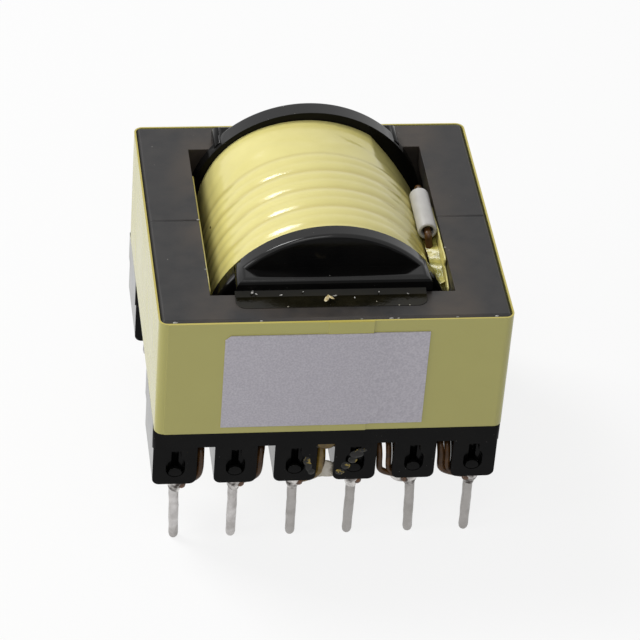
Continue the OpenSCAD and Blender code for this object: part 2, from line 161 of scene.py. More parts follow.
def open_for_edit(piece):
    """Makes piece the one that edit mode works on, with all of it selected."""
    bpy.ops.object.select_all(action="DESELECT")
    piece.select_set(True)
    bpy.context.view_layer.objects.active = piece
    bpy.ops.object.mode_set(mode="EDIT")
    bpy.ops.mesh.select_all(action="SELECT")


def copy_of(node, name):
    """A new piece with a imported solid's own mesh, its loose triangles merged into flat faces."""
    piece = bpy.data.objects.new(name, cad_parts[node].data.copy())
    piece.data.name = name
    scene.collection.objects.link(piece)
    open_for_edit(piece)
    bpy.ops.mesh.remove_doubles(threshold=0.001 * MM)
    bpy.ops.mesh.dissolve_limited(angle_limit=math.radians(0.5))
    bpy.ops.object.mode_set(mode="OBJECT")
    return piece


def close_up(piece, smooth_under=35, flat_faces=False):
    """Applies the piece's modifiers, fixes its place in its mesh and smooths its gentle edges.
    With flat_faces, the large faces stay flat and the shading turns only at their rounded edges."""
    if bpy.context.object and bpy.context.object.mode == "EDIT":
        bpy.ops.object.mode_set(mode="OBJECT")
    bpy.ops.object.select_all(action="DESELECT")
    piece.select_set(True)
    bpy.context.view_layer.objects.active = piece
    for modifier in list(piece.modifiers):
        bpy.ops.object.modifier_apply(modifier=modifier.name)
    bpy.ops.object.transform_apply(location=True, rotation=True, scale=True)
    bpy.ops.object.shade_smooth_by_angle(angle=math.radians(smooth_under))
    if flat_faces:
        piece.modifiers.new("flat_faces", "WEIGHTED_NORMAL").keep_sharp = True
        bpy.ops.object.modifier_apply(modifier="flat_faces")
    return piece


def round_edges(piece, width, segments=2, over=35):
    """A bevel modifier on the edges sharper than the given angle."""
    bevel = piece.modifiers.new("edge_round", "BEVEL")
    bevel.width = width
    bevel.segments = segments
    bevel.limit_method = "ANGLE"
    bevel.angle_limit = math.radians(over)


def name_it(name):
    """Names the primitive that was just added, with its mesh, and returns it."""
    piece = bpy.context.object
    piece.name = name
    piece.data.name = name
    return piece


def dress(piece, material, slot, *nodes):
    """Gives the piece its finish, seats it on the one body and hides the solids it stands for."""
    piece.data.materials.clear()
    piece.data.materials.append(material)
    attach(piece, "root")
    if nodes:
        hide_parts(*nodes)


def new_group(name, inputs, outputs):
    """An empty shader node group; inputs and outputs give each number's name and default."""
    group = bpy.data.node_groups.new(name, "ShaderNodeTree")
    for side, sockets in (("INPUT", inputs), ("OUTPUT", outputs)):
        for label, value in sockets.items():
            socket = group.interface.new_socket(label, in_out=side, socket_type="NodeSocketFloat")
            socket.default_value = value
    entry = group.nodes.new("NodeGroupInput")
    leave = group.nodes.new("NodeGroupOutput")
    return group, entry.outputs, leave.inputs


def use_group(tree, group, **values):
    """Places a node group in a material with its own values, and returns its outputs."""
    links = {label.replace("_", " "): value for label, value in values.items()}
    return add_node(tree, "Group", links, node_tree=group).outputs


# Fine texture over a surface: a height for the bump and a mask of soft patches
grain, came, out = new_group("grain", {"Size": 0.2, "Patch Size": 3.0, "Patch Contrast": 1.0},
                             {"Height": 0.0, "Patches": 0.0})
place = add_node(grain, "TexCoord").outputs["Object"]
per_mm = maths(grain, "DIVIDE", 1 / MM, came["Size"])
fine = add_node(grain, "TexNoise", {
    "Vector": place, "Scale": per_mm, "Detail": 3.0, "Roughness": 0.6})
grain.links.new(fine.outputs[0], out["Height"])
per_mm = maths(grain, "DIVIDE", 1 / MM, came["Patch Size"])
broad = add_node(grain, "TexNoise", {
    "Vector": place, "Scale": per_mm, "Detail": 4.0, "Roughness": 0.55})
centred = maths(grain, "SUBTRACT", broad.outputs[0], 0.5)
spread = maths(grain, "MULTIPLY_ADD", centred, came["Patch Contrast"], 0.5, use_clamp=True)
grain.links.new(spread, out["Patches"])

# Pale specks of dust, each a small spot in its own cell, thicker where they have settled
dust, came, out = new_group("dust", {"Cell": 0.7, "Speck": 0.1, "Share": 0.4, "Settled": 1.0},
                            {"Specks": 0.0})
place = add_node(dust, "TexCoord").outputs["Object"]
per_mm = maths(dust, "DIVIDE", 1 / MM, came["Cell"])
cells = add_node(dust, "TexVoronoi", {"Vector": place, "Scale": per_mm, "Randomness": 1.0})
tint = add_node(dust, "SeparateColor", {0: cells.outputs["Color"]}).outputs
spot = maths(dust, "MULTIPLY", came["Speck"], tint[1])
near = maths(dust, "LESS_THAN", cells.outputs["Distance"], spot)
some = maths(dust, "LESS_THAN", tint[0], came["Share"])
up = add_node(dust, "SeparateXYZ", {0: add_node(dust, "NewGeometry").outputs["Normal"]}).outputs[2]
lying = add_node(dust, "MapRange", {0: up, 1: 0.1, 2: 0.7}).outputs[0]
held = add_node(dust, "Mix", {0: came["Settled"], 2: 1.0, 3: lying}, data_type="FLOAT").outputs[0]
shown = maths(dust, "MULTIPLY", maths(dust, "MULTIPLY", near, some), held)
dust.links.new(shown, out["Specks"])


def new_finish(name, **sockets):
    """A new material, its tree and the shader's sockets; sockets are the shader's own values."""
    material = bpy.data.materials.new(name)
    material.use_nodes = True
    shader = material.node_tree.nodes["Principled BSDF"].inputs
    for label, value in sockets.items():
        shader[label.replace("_", " ")].default_value = value
    return material, material.node_tree, shader


def grained(name, fine, patch, contrast, gloss=None, bump=None, **sockets):
    """A new finish under the grain, its sizes in millimetres. Its roughness runs over gloss from
    patch to patch, and bump is its relief's strength and depth. Also returns the patches."""
    material, tree, shader = new_finish(name, **sockets)
    skin = use_group(tree, grain, Size=fine, Patch_Size=patch, Patch_Contrast=contrast)
    if gloss:
        rough = add_node(tree, "MapRange", {0: skin["Patches"], 3: gloss[0], 4: gloss[1]})
        tree.links.new(rough.outputs[0], shader["Roughness"])
    if bump:
        strength, depth = bump
        relief = add_node(tree, "Bump", {
            "Strength": strength, "Distance": depth * MM, "Height": skin["Height"]})
        tree.links.new(relief.outputs[0], shader["Normal"])
    return material, tree, shader, skin["Patches"]


def paint(tree, shader, base, *coats):
    """Sets the base colour, with the colour of each coat laid over it where its mask is 1."""
    under = (*base, 1)
    for mask, colour in coats:
        mix = add_node(tree, "Mix", {0: mask, 6: under, 7: (*colour, 1)}, data_type="RGBA")
        under = mix.outputs[2]
    tree.links.new(under, shader["Base Color"])


# The rounded rims and tops came out of a polished mould; the flat faces in front are duller
moulded = {}
for finish, reflection in (("polished_black", 0.32), ("plain_black", 0.08)):
    moulded[finish], tree, shader, patches = grained(
        finish, fine=0.35, patch=2.5, contrast=1.6, gloss=(0.06, 0.16), bump=(0.15, 0.02),
        Specular_IOR_Level=reflection)
    specks = use_group(tree, dust, Cell=0.45, Speck=0.085, Share=0.3, Settled=0.75)["Specks"]
    paint(tree, shader, BLACK, (patches, FADED_BLACK), (specks, (0.3, 0.29, 0.27)))

bobbin_moulding = copy_of("bobbin", "bobbin_moulding")
# the rear flange's rim is a little thicker than the front one's
for vertex in bobbin_moulding.data.vertices:
    if vertex.co.z > ledge_top and vertex.co.y > rear_rim_from:
        vertex.co.y += rear_rim_extra
round_edges(bobbin_moulding, mould_round)
close_up(bobbin_moulding, flat_faces=True)
dress(bobbin_moulding, moulded["polished_black"], "bobbin", "bobbin")
bobbin_moulding.data.materials.append(moulded["plain_black"])
for face in bobbin_moulding.data.polygons:
    faces_front = face.normal.y < -0.85
    rear_ledge = face.center.y > rear_ledge_from and face.center.z < ledge_top
    if faces_front or face.center.z < rail_top or rear_ledge:
        face.material_index = 1

# Round buttons that the mould leaves at the bottom of each post's keyhole
button_radius = 0.6 * MM
button_rise = 1.03 * MM
button_depth = 0.4 * MM
button_from_pin = 0.62 * MM
button_round = 0.08 * MM
for number in range(1, 13):
    pin_middle = middle_of(f"pin_{number}")
    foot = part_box(f"solder_{number}")[1].z
    outward = -button_from_pin if number <= 6 else button_from_pin
    bpy.ops.mesh.primitive_cylinder_add(
        vertices=40, radius=button_radius, depth=button_depth, rotation=(math.pi / 2, 0, 0),
        location=(pin_middle.x, pin_middle.y + outward, foot + button_rise))
    button = name_it(f"post_button_{number}")
    round_edges(button, button_round, 3)
    close_up(button)
    dress(button, moulded["plain_black"], "bobbin")

# ---- Pins ----------------------------------------------------------------------
# Twelve stiff wires, square where they grip the moulding and round below. They were dipped
# in tin with their wire ends on, so the coat is uneven, and handling has tipped them over.
pin_radius = 0.42 * MM
pin_root_z = 6.45 * MM
hidden_root = 0.4 * MM
pin_lengths = 16
tip_share = (0.8, 0.86, 1)
tip_round = 0.13 * MM
pin_lean = (0.19, 0.03, 0.1, -0.03, 0.21, 0.05, -0.1, 0.12, -0.06, 0.1, 0.05, -0.12)
TIN = (0.66, 0.64, 0.635)
DULL_TIN = (0.32, 0.305, 0.29)


def pick(piece, kind, chosen):
    """In edit mode, selects just the vertices, edges or faces for which chosen(it) is true."""
    bpy.ops.mesh.select_mode(type=kind)
    bpy.ops.mesh.select_all(action="DESELECT")
    mesh = bmesh.from_edit_mesh(piece.data)
    for element in {"VERT": mesh.verts, "EDGE": mesh.edges, "FACE": mesh.faces}[kind]:
        if chosen(element):
            element.select_set(True)
    mesh.select_flush_mode()
    bmesh.update_edit_mesh(piece.data)


def ripple(piece, name, size, strength, axis="NORMAL"):
    """A displace modifier that follows soft clouds of the given size."""
    clouds = bpy.data.textures.get(name) or bpy.data.textures.new(name, "CLOUDS")
    clouds.noise_scale = size
    displace = piece.modifiers.new(name, "DISPLACE")
    displace.texture = clouds
    displace.texture_coords = "LOCAL"
    displace.direction = axis
    displace.strength = strength


tinned, tree, shader, patches = grained(
    "tinned_wire", fine=0.2, patch=0.9, contrast=1.8, gloss=(0.28, 0.5), bump=(0.3, 0.03),
    Metallic=1.0)
place = add_node(tree, "TexCoord").outputs["Object"]
across = add_node(tree, "SeparateXYZ", {0: place}).outputs[0]
# The tin turns duller across the row: none at x = -6 mm, rising to its most at x = -2 mm and beyond
duller_rightwards = add_node(tree, "MapRange", {0: across, 1: -6 * MM, 2: -2 * MM, 4: 0.75}).outputs[0]
paint(tree, shader, TIN, (patches, DULL_TIN), (duller_rightwards, DULL_TIN))

for number, lean in enumerate(pin_lean, 1):
    low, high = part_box(f"pin_{number}")
    high.z = pin_root_z + hidden_root
    middle = (low + high) / 2
    bpy.ops.mesh.primitive_cylinder_add(vertices=20, radius=pin_radius, depth=high.z - low.z,
                                        location=middle)
    pin = name_it(f"tinned_pin_{number}")
    open_for_edit(pin)
    for cut in range(1, pin_lengths):
        bpy.ops.mesh.select_all(action="SELECT")
        level = low.z + (high.z - low.z) * cut / pin_lengths
        bpy.ops.mesh.bisect(plane_co=(middle.x, middle.y, level), plane_no=(0, 0, 1))
    pick(pin, "FACE", lambda face: face.normal.z < -0.9)
    bpy.ops.transform.resize(value=tip_share, center_override=(middle.x, middle.y, low.z))
    bpy.ops.mesh.bevel(offset=tip_round, segments=2, affect="EDGES")
    ripple(pin, "uneven_tin", 1.1 * MM, 0.12 * MM)
    close_up(pin)
    open_for_edit(pin)
    bpy.ops.transform.rotate(value=math.asin(lean * MM / pin_root_z), orient_axis="Y",
                             center_override=(middle.x, middle.y, pin_root_z))
    close_up(pin, 60)
    dress(pin, tinned, "pin", f"pin_{number}")

# ---- Solder ---------------------------------------------------------------------
# At each pin's foot the wire end is wrapped on and flooded with solder: two turns of wire
# under one bright lump that runs out towards the lead. Burnt flux is left beside it.
collar_radius, collar_height = 0.66 * MM, 0.5 * MM
turn_wire = 0.22 * MM
turns_below = ((0.18, 0.58), (0.52, 0.48))  # how far each turn is below the post, and its radius
skirt_top, skirt_tip, skirt_height = 0.8 * MM, 0.42 * MM, 1.3 * MM
# Which side each pin's lead comes from: 1 right, -1 left. Then how wide and how deep the
# solder runs towards it, and how far the whole lump sits from the pin's middle.
lead_side = {1: 1, 2: 1, 3: 1, 5: -1, 6: -1, 7: 1, 8: 1, 10: -1, 11: -1, 12: -1}
solder_run = {1: (0.75, 0.75, 0.2), 2: (0.9, 0.8, 0.12), 3: (0.85, 0.6, 0.05),
              4: (0.25, 0.3, 0.0), 5: (1.05, 1.3, -0.1), 6: (0.45, 0.4, 0.08)}
usual_run = (0.5, 0.4, 0.0)

solder_bright, tree, shader, patches = grained(
    "solder_bright", fine=0.1, patch=0.7, contrast=4.0, gloss=(0.18, 0.45), bump=(0.4, 0.03),
    Metallic=1.0)
paint(tree, shader, (0.62, 0.6, 0.58), (patches, (0.06, 0.05, 0.045)))

burnt_flux, tree, shader, patches = grained(
    "burnt_flux", fine=0.15, patch=0.5, contrast=2.6, gloss=(0.08, 0.25), bump=(0.3, 0.04))
paint(tree, shader, (0.014, 0.008, 0.004), (patches, (0.2, 0.075, 0.018)))


def step(start, across, along, up):
    """The place that lies these distances from start, in millimetres."""
    return start + Vector((across, along, up)) * MM


def ball(place, half_sizes, segments=16, rings=10, tilt=0.0):
    """Adds a ball with the given half sizes, in millimetres."""
    bpy.ops.mesh.primitive_uv_sphere_add(segments=segments, ring_count=rings, radius=1 * MM,
                                         location=place, rotation=(0, tilt, 0))
    bpy.context.object.scale = half_sizes


def add_to(piece):
    """Joins the primitive that was just added to piece."""
    bpy.context.object.select_set(True)
    piece.select_set(True)
    bpy.context.view_layer.objects.active = piece
    bpy.ops.object.join()


def flow_together(piece, grid, rounds, name, size, strength):
    """Fuses a piece's joined forms into one skin and lets it settle, a little uneven."""
    flood = piece.modifiers.new("flood", "REMESH")
    flood.mode = "VOXEL"
    flood.voxel_size = grid * MM
    settle = piece.modifiers.new("settle", "SMOOTH")
    settle.iterations = rounds
    ripple(piece, name, size * MM, strength * MM)
    close_up(piece, 70)


for number in range(1, 13):
    low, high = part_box(f"solder_{number}")
    side = lead_side.get(number, 1)
    run, deep, offset = solder_run.get(number, usual_run)
    foot = Vector(((low.x + high.x) / 2 + offset * MM, (low.y + high.y) / 2, high.z))
    bpy.ops.mesh.primitive_cylinder_add(vertices=24, radius=collar_radius, depth=collar_height,
                                        location=step(foot, 0, 0, -0.22))
    lump = name_it(f"solder_lump_{number}")
    for drop, girth in turns_below:
        bpy.ops.mesh.primitive_torus_add(
            major_radius=girth * MM, minor_radius=turn_wire, major_segments=28, minor_segments=10,
            location=step(foot, 0, 0, -drop), rotation=(0.18, 0.1, 0))
        add_to(lump)
    bpy.ops.mesh.primitive_cone_add(
        vertices=20, radius1=skirt_top, radius2=skirt_tip, depth=skirt_height,
        location=step(foot, -offset * 0.5, 0, -0.66), rotation=(math.pi, 0, 0))
    add_to(lump)
    ball(step(foot, side * run * 0.8, -0.05, -0.2), (run, 0.34, deep * 0.6), tilt=-side * 0.6)
    add_to(lump)
    flow_together(lump, 0.075, 4, "uneven_solder", 0.7, 0.14)
    dress(lump, solder_bright, "solder", f"solder_{number}")

    # the flux, a flat bead under the post on the lead's side
    ball(step(foot, side * 0.75, -0.12, 0), (0.62, 0.4, 0.13))
    bead = name_it(f"flux_bead_{number}")
    ball(step(foot, side * 0.42, -0.42, -0.4), (0.36, 0.36, 0.36), segments=12, rings=8)
    add_to(bead)
    flow_together(bead, 0.06, 3, "flux_skin", 0.6, 0.1)
    dress(bead, burnt_flux, "varnish")

# ---- Windings inside -------------------------------------------------------------
# Copper wire in three layers with a turn of insulating film between them, and soft margin
# tape at both ends. The wrap covers all of it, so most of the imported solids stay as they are.
COPPER = (0.62, 0.26, 0.1)
FILM = (0.62, 0.58, 0.22)
turns_scale = 420  # for turns about 0.75 mm apart

copper_turns, tree, shader = new_finish("enamelled_turns", Metallic=0.85)
place = add_node(tree, "TexCoord").outputs["Object"]
turns = add_node(tree, "TexWave", {"Vector": place, "Scale": turns_scale, "Distortion": 0.2},
                 bands_direction="Y").outputs[1]
# The wave bands are the turns: they raise the bump, and the dark between them is painted shade in
# the grooves between turns
paint(tree, shader, (0.3, 0.1, 0.04), (turns, COPPER))
bump = add_node(tree, "Bump", {"Strength": 0.8, "Distance": 0.1 * MM, "Height": turns})
tree.links.new(bump.outputs[0], shader["Normal"])

inner_film, tree, shader, patches = grained(
    "inner_film", fine=0.5, patch=4.0, contrast=1.0, Roughness=0.35)
paint(tree, shader, FILM, (patches, (0.7, 0.66, 0.3)))


def recoat(material, *nodes):
    """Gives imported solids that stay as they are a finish."""
    for node in nodes:
        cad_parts[node].data.materials.clear()
        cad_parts[node].data.materials.append(material)


recoat(copper_turns, "winding_inner", "winding_middle", "winding_outer")
recoat(inner_film, "insulation_inner", "insulation_outer", "margin_tape_front")

# ---- Outer wrap -------------------------------------------------------------------
# Thin yellow polyester tape, as wide as the bobbin, pulled tight over the last winding. The
# pairs of wires under it show as twin ridges. The rear, over soft margin tape, has gone slack.
wrap_low, wrap_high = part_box("coil_wrap")
coil_axis = (wrap_low + wrap_high) / 2
wrap_radius = 9.45
wrap_bands = 170
film_thickness = 0.15 * MM
ridge_height = 0.16 * MM
ridge_pitch = 2.55 * MM
ridges_from, ridges_to = -6.8 * MM, 3.4 * MM
ridge_advance = 0.35  # of a pitch, in one turn
# Painted shade, in pitches and shares: how wide and how dark the film is painted in the valleys
# between ridges and in the groove within each twin pair
valley_shade_half, groove_shade_half = 0.09, 0.06
valley_shade_strength, groove_shade_share = 0.55, 0.3
lip_height = 0.06 * MM
lip_from, lip_to = 7.75 * MM, 8.1 * MM
# The slack rear, in degrees from the top and in millimetres: a bulge on the left, and a flat
# on the right where the film is stretched straight between two edges
bulge_at, bulge_half, bulge_height = -42, 30, 0.28
flat_at, flat_half, flat_depth = 55, 21, 0.75
slack_from, slack_to = 2.8, 6.2
# Its creases: angle from the top, place along the coil, slant, length, height
creases = ((-38, 4.6, 0.05, 20, 0.05), (-14, 5.4, -0.045, 14, -0.06), (12, 4.9, 0.04, 13, 0.06),
           (24, 6.0, -0.05, 12, -0.07), (-60, 5.2, 0.03, 16, -0.05), (46, 5.2, 0.05, 12, 0.05))
crease_half_width = 0.45

yellow_wrap, tree, shader, patches = grained(
    "yellow_wrap", fine=0.5, patch=3.5, contrast=1.4, gloss=(0.13, 0.24), bump=(0.2, 0.04), IOR=1.6)
# The film is painted darker in the valleys between the ridges and in the groove of each twin pair:
# painted shade
valley_shade = add_node(tree, "Attribute", attribute_name="valley_shade").outputs["Fac"]
specks = use_group(tree, dust, Cell=2.4, Speck=0.07, Share=0.3, Settled=0.0)["Specks"]
paint(tree, shader, (0.68, 0.605, 0.205), (patches, (0.76, 0.69, 0.265)),
      (valley_shade, (0.5, 0.41, 0.115)), (specks, (0.1, 0.07, 0.02)))


def twin_ridge(turn):
    """Height, 0 to 1, of the two wires under the tape, at a place along one pitch."""
    soften = 0.02
    whole = math.sqrt(math.sin(math.pi * turn) ** 2 + soften) - math.sqrt(soften)
    pair = math.sqrt(math.sin(2 * math.pi * turn) ** 2 + soften) - math.sqrt(soften)
    return 0.62 * whole + 0.5 * pair


def fade(value, start, end):
    """Rises smoothly from 0 at start to 1 at end."""
    share = min(max((value - start) / (end - start), 0), 1)
    return share * share * (3 - 2 * share)


def hump(value, middle, half):
    """A soft hump of height 1, centred on middle."""
    return math.exp(-(((value - middle) / half) ** 2))


def slack(turned, along):
    """How far the loose rear of the wrap stands out of round, at an angle and a place along."""
    angle = math.degrees(turned)
    rear = fade(along, slack_from, slack_to)
    chord = 1
    if abs(angle - flat_at) < flat_half:
        chord = math.cos(math.radians(flat_half)) / math.cos(math.radians(angle - flat_at))
    out_of_round = bulge_height * hump(angle, bulge_at, bulge_half) * rear
    out_of_round -= flat_depth * wrap_radius * (1 - chord) * rear
    for turned_to, level, slant, length, height in creases:
        off = along - level - slant * (angle - turned_to)
        out_of_round += height * hump(angle, turned_to, length) * hump(off, 0, crease_half_width)
    return out_of_round


def round_coil(vertex):
    """A vertex's direction from the coil's axis, its angle from the top and its place along."""
    outward = Vector((vertex.co.x - coil_axis.x, 0, vertex.co.z - coil_axis.z))
    return outward, math.atan2(outward.x, outward.z), vertex.co.y - coil_axis.y


bpy.ops.mesh.primitive_cylinder_add(
    vertices=300, radius=wrap_radius * MM, depth=wrap_high.y - wrap_low.y,
    end_fill_type="NOTHING", location=coil_axis, rotation=(math.pi / 2, 0, 0))
wrap = name_it("yellow_coil_wrap")
close_up(wrap)
open_for_edit(wrap)
for band in range(1, wrap_bands):
    bpy.ops.mesh.select_all(action="SELECT")
    level = wrap_low.y + (wrap_high.y - wrap_low.y) * band / wrap_bands
    bpy.ops.mesh.bisect(plane_co=(0, level, 0), plane_no=(0, 1, 0))
bpy.ops.object.mode_set(mode="OBJECT")
valley_shades = wrap.data.attributes.new("valley_shade", "FLOAT", "POINT")
for vertex in wrap.data.vertices:
    outward, turned, along = round_coil(vertex)
    turn = (along - ridges_from) / ridge_pitch - turned / (2 * math.pi) * ridge_advance
    wound = fade(along, ridges_from - 0.2 * MM, ridges_from + 0.5 * MM)
    wound *= 1 - fade(along, ridges_to - 0.1 * MM, ridges_to + 0.25 * MM)
    lift = ridge_height * twin_ridge(turn) * wound + slack(turned, along / MM) * MM
    lift += lip_height * fade(-along, lip_from, lip_to)
    vertex.co += outward.normalized() * lift
    # Painted shade: darkest in the valleys between ridges, less in the groove between the twin
    # wires
    valley_shading = max(hump(turn % 1, 0, valley_shade_half), hump(turn % 1, 1, valley_shade_half))
    groove_shading = groove_shade_share * hump(turn % 1, 0.5, groove_shade_half)
    valley_shades.data[vertex.index].value = max(valley_shading, groove_shading) * wound * valley_shade_strength
ripple(wrap, "slack_film", 6 * MM, 0.1 * MM)
thick = wrap.modifiers.new("film", "SOLIDIFY")
thick.thickness = film_thickness
thick.offset = -1
close_up(wrap, 60)
dress(wrap, yellow_wrap, "coil_tape", "coil_wrap")

# The soft tape under the slack part has sunk with it on the right, a little below the film
soft_tape_from = 9
below_film = 0.12
margin = copy_of("margin_tape_rear", "sunken_margin_tape")
for vertex in margin.data.vertices:
    outward, turned, along = round_coil(vertex)
    if outward.length > soft_tape_from * MM:
        sunk = min(slack(turned, along / MM), 0) - below_film
        vertex.co += outward.normalized() * sunk * MM
close_up(margin)
dress(margin, inner_film, "margin_tape", "margin_tape_rear")

# ---- Core ------------------------------------------------------------------------
# Two ferrite halves, pressed, fired and ground, meeting at a fine joint across the legs.
# Their edges are brittle, so small chips have broken off, and handling has left smudges.
ground_edge = 0.07 * MM
core_low, core_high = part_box("core_half_front")[0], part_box("core_half_rear")[1]
core_middle = (core_low + core_high) / 2
smudged_from, smudged_to = 12.6 * MM, 10.2 * MM

ferrite, tree, shader, patches = grained(
    "ferrite", fine=0.12, patch=1.3, contrast=2.2, gloss=(0.32, 0.46), bump=(0.25, 0.02),
    Specular_IOR_Level=0.32)
place = add_node(tree, "TexCoord").outputs["Object"]
from_middle = maths(tree, "ABSOLUTE", add_node(tree, "SeparateXYZ", {0: place}).outputs[0])
by_window = add_node(tree, "MapRange", {0: from_middle, 1: smudged_from, 2: smudged_to}).outputs[0]
smears = use_group(tree, grain, Size=0.3, Patch_Size=5.0, Patch_Contrast=3.5)["Patches"]
smudge = maths(tree, "MULTIPLY", by_window, smears, use_clamp=True)
specks = use_group(tree, dust, Cell=0.6, Speck=0.08, Share=0.25, Settled=0.8)["Specks"]
paint(tree, shader, (0.014, 0.0137, 0.0145), (patches, (0.028, 0.0262, 0.0255)),
      (smudge, (0.05, 0.04, 0.032)), (specks, (0.25, 0.24, 0.22)))

for half in ("front", "rear"):
    core = copy_of(f"core_half_{half}", f"ferrite_half_{half}")
    round_edges(core, ground_edge)
    close_up(core, flat_faces=True)
    dress(core, ferrite, "ferrite", f"core_half_{half}")

# Chips along the upper edges: little pale flakes of broken ferrite, all from one shape
chipped, tree, shader, patches = grained(
    "broken_ferrite", fine=0.08, patch=0.2, contrast=3.0, gloss=(0.25, 0.5))
paint(tree, shader, (0.16, 0.155, 0.15), (patches, (0.5, 0.49, 0.46)))
front_edge_y, front_edge_z = core_low.y + 0.12 * MM, core_high.z - 0.1 * MM
window_edge_z = core_high.z - 0.01 * MM
# On the front edge: place across and size, in millimetres
front_chips = ((-13.1, 0.16), (-6.2, 0.1), (1.9, 0.09), (4.3, 0.15), (4.9, 0.08), (9.7, 0.09),
               (12.9, 0.13))
# On the window's edges: place across, place along and size
window_chips = ((-10.05, 0.1, 0.12), (10.05, -4.4, 0.09), (-10.05, -6.8, 0.08))
chips = [(Vector((core_middle.x + across * MM, front_edge_y, front_edge_z)), size)
         for across, size in front_chips]
chips += [(Vector((core_middle.x + across * MM, core_middle.y + along * MM, window_edge_z)), size)
          for across, along, size in window_chips]
for number, (place, size) in enumerate(chips, 1):
    bpy.ops.mesh.primitive_ico_sphere_add(subdivisions=2, radius=size * MM, location=place)
    chip = name_it(f"edge_chip_{number}")
    chip.scale = (1.3, 0.7, 0.35)
    ripple(chip, "chip_form", 0.2 * MM, 0.12 * MM)
    close_up(chip, 20)
    dress(chip, chipped, "ferrite")

# ---- Core tape ---------------------------------------------------------------------
# The halves are held together by turns of the same yellow film. It is thin enough for the
# dark ferrite to show through, so it looks olive. Its two ends stand as fine steps in front.
tape_low, tape_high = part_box("core_tape")
lap_from, lap_to = core_middle.x - 0.75 * MM, core_middle.x + 2.94 * MM
lap_thickness = 0.05 * MM
lap_margin = 0.05 * MM
lap_round = 0.03 * MM

film_over_core, tree, shader, patches = grained(
    "film_over_core", fine=0.6, patch=6.0, contrast=1.2, gloss=(0.16, 0.28), bump=(0.2, 0.04),
    IOR=1.6)
facing = add_node(tree, "NewGeometry").outputs["Normal"]
upright = maths(tree, "ABSOLUTE", add_node(tree, "SeparateXYZ", {0: facing}).outputs[2])
rim = maths(tree, "GREATER_THAN", upright, 0.5)
paint(tree, shader, (0.395, 0.365, 0.092), (patches, (0.43, 0.4, 0.108)), (rim, (0.5, 0.42, 0.08)))

core_tape = copy_of("core_tape", "core_tape_turns")
close_up(core_tape, flat_faces=True)
dress(core_tape, film_over_core, "core_tape", "core_tape")

# The outermost end of the film: one more layer, from the seam to the lap's edge
bpy.ops.mesh.primitive_cube_add(size=1, location=(
    (lap_from + lap_to) / 2, tape_low.y - lap_thickness / 2, (tape_low.z + tape_high.z) / 2))
end = name_it("core_tape_end")
end.scale = (lap_to - lap_from, lap_thickness, tape_high.z - tape_low.z - lap_margin)
close_up(end)
open_for_edit(end)
pick(end, "EDGE", lambda edge: edge.verts[0].co.y < tape_low.y
     and abs(edge.verts[0].co.z - edge.verts[1].co.z) > MM)
bpy.ops.mesh.bevel(offset=lap_round, segments=2, affect="EDGES")
close_up(end)
dress(end, film_over_core, "core_tape")

# ---- Label --------------------------------------------------------------------------
# A bare strip of matt paper, cut square and glued flat over the film and its step. Its
# upper left corner has torn off.
label_low, label_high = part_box("label")
# The tear, in three short cuts: place across and down from the corner, and slope
tear = ((0.16, 0.26, 0.9), (0.24, 0.17, 0.45), (0.1, 0.36, 1.7))

label_paper, tree, shader, patches = grained(
    "label_paper", fine=0.1, patch=1.2, contrast=2.0, gloss=(0.6, 0.75), bump=(0.35, 0.02),
    Specular_IOR_Level=0.35)
fibres = use_group(tree, grain, Size=0.12, Patch_Size=0.16, Patch_Contrast=4.0)["Patches"]
paint(tree, shader, (0.525, 0.5, 0.55), (patches, (0.56, 0.54, 0.585)),
      (fibres, (0.44, 0.42, 0.47)))

label = copy_of("label", "paper_label")
open_for_edit(label)
for across, down, slope in tear:
    bpy.ops.mesh.select_all(action="SELECT")
    bpy.ops.mesh.bisect(
        plane_co=(label_low.x + across * MM, label_low.y, label_high.z - down * MM),
        plane_no=Vector((-slope, 0, 1)).normalized(), clear_outer=True, use_fill=True)
close_up(label)
dress(label, label_paper, "label", "label")

# ---- Leads ---------------------------------------------------------------------------
# Enamelled copper wires from the coil. Each pair comes through a slot, runs down the side of
# its post and round the post's lower corner to the pin, where it is soldered.
post_half = 1.775 * MM
plate_under = rail_top - 2.55 * MM
coil_under = wrap_low.z
strand_apart = 0.5 * MM
# The leads of the outermost slots leave the round coil further in than their slots, and higher
outer_slot = 8
outer_share, inner_share = 0.71, 0.9
outer_lift = 1.35 * MM
# For each lead: its pin, the slot it comes through, and for each strand how far it stands
# from the post's side at the top and lower down, and its radius
strands = {
    1: (1, -10, ((0.42, 0.34, 0.32),)),
    2: (2, -5, ((0.5, 0.28, 0.34),)),
    3: (3, 0, ((0.46, 0.44, 0.4),)),
    4: (5, 5, ((0.28, 0.28, 0.24), (1.12, 1.05, 0.27))),
    5: (6, 10, ((0.3, 0.3, 0.28), (0.92, 0.86, 0.3))),
    6: (7, -10, ((0.36, 0.34, 0.3),)),
    7: (8, -5, ((0.36, 0.34, 0.3),)),
    8: (10, 0, ((0.4, 0.36, 0.3),)),
    9: (11, 5, ((0.36, 0.34, 0.3),)),
}
varnished_lead = 3

enamel, tree, shader, patches = grained(
    "brown_enamel", fine=0.3, patch=1.1, contrast=2.2, gloss=(0.12, 0.3), bump=(0.2, 0.03),
    Specular_IOR_Level=0.25)
paint(tree, shader, (0.02, 0.008, 0.003), (patches, (0.13, 0.06, 0.018)))

amber, tree, shader, patches = grained(
    "amber_varnish", fine=0.3, patch=0.9, contrast=2.4, gloss=(0.05, 0.18), bump=(0.3, 0.05),
    Specular_IOR_Level=0.4)
paint(tree, shader, (0.3, 0.19, 0.03), (patches, (0.03, 0.014, 0.004)))


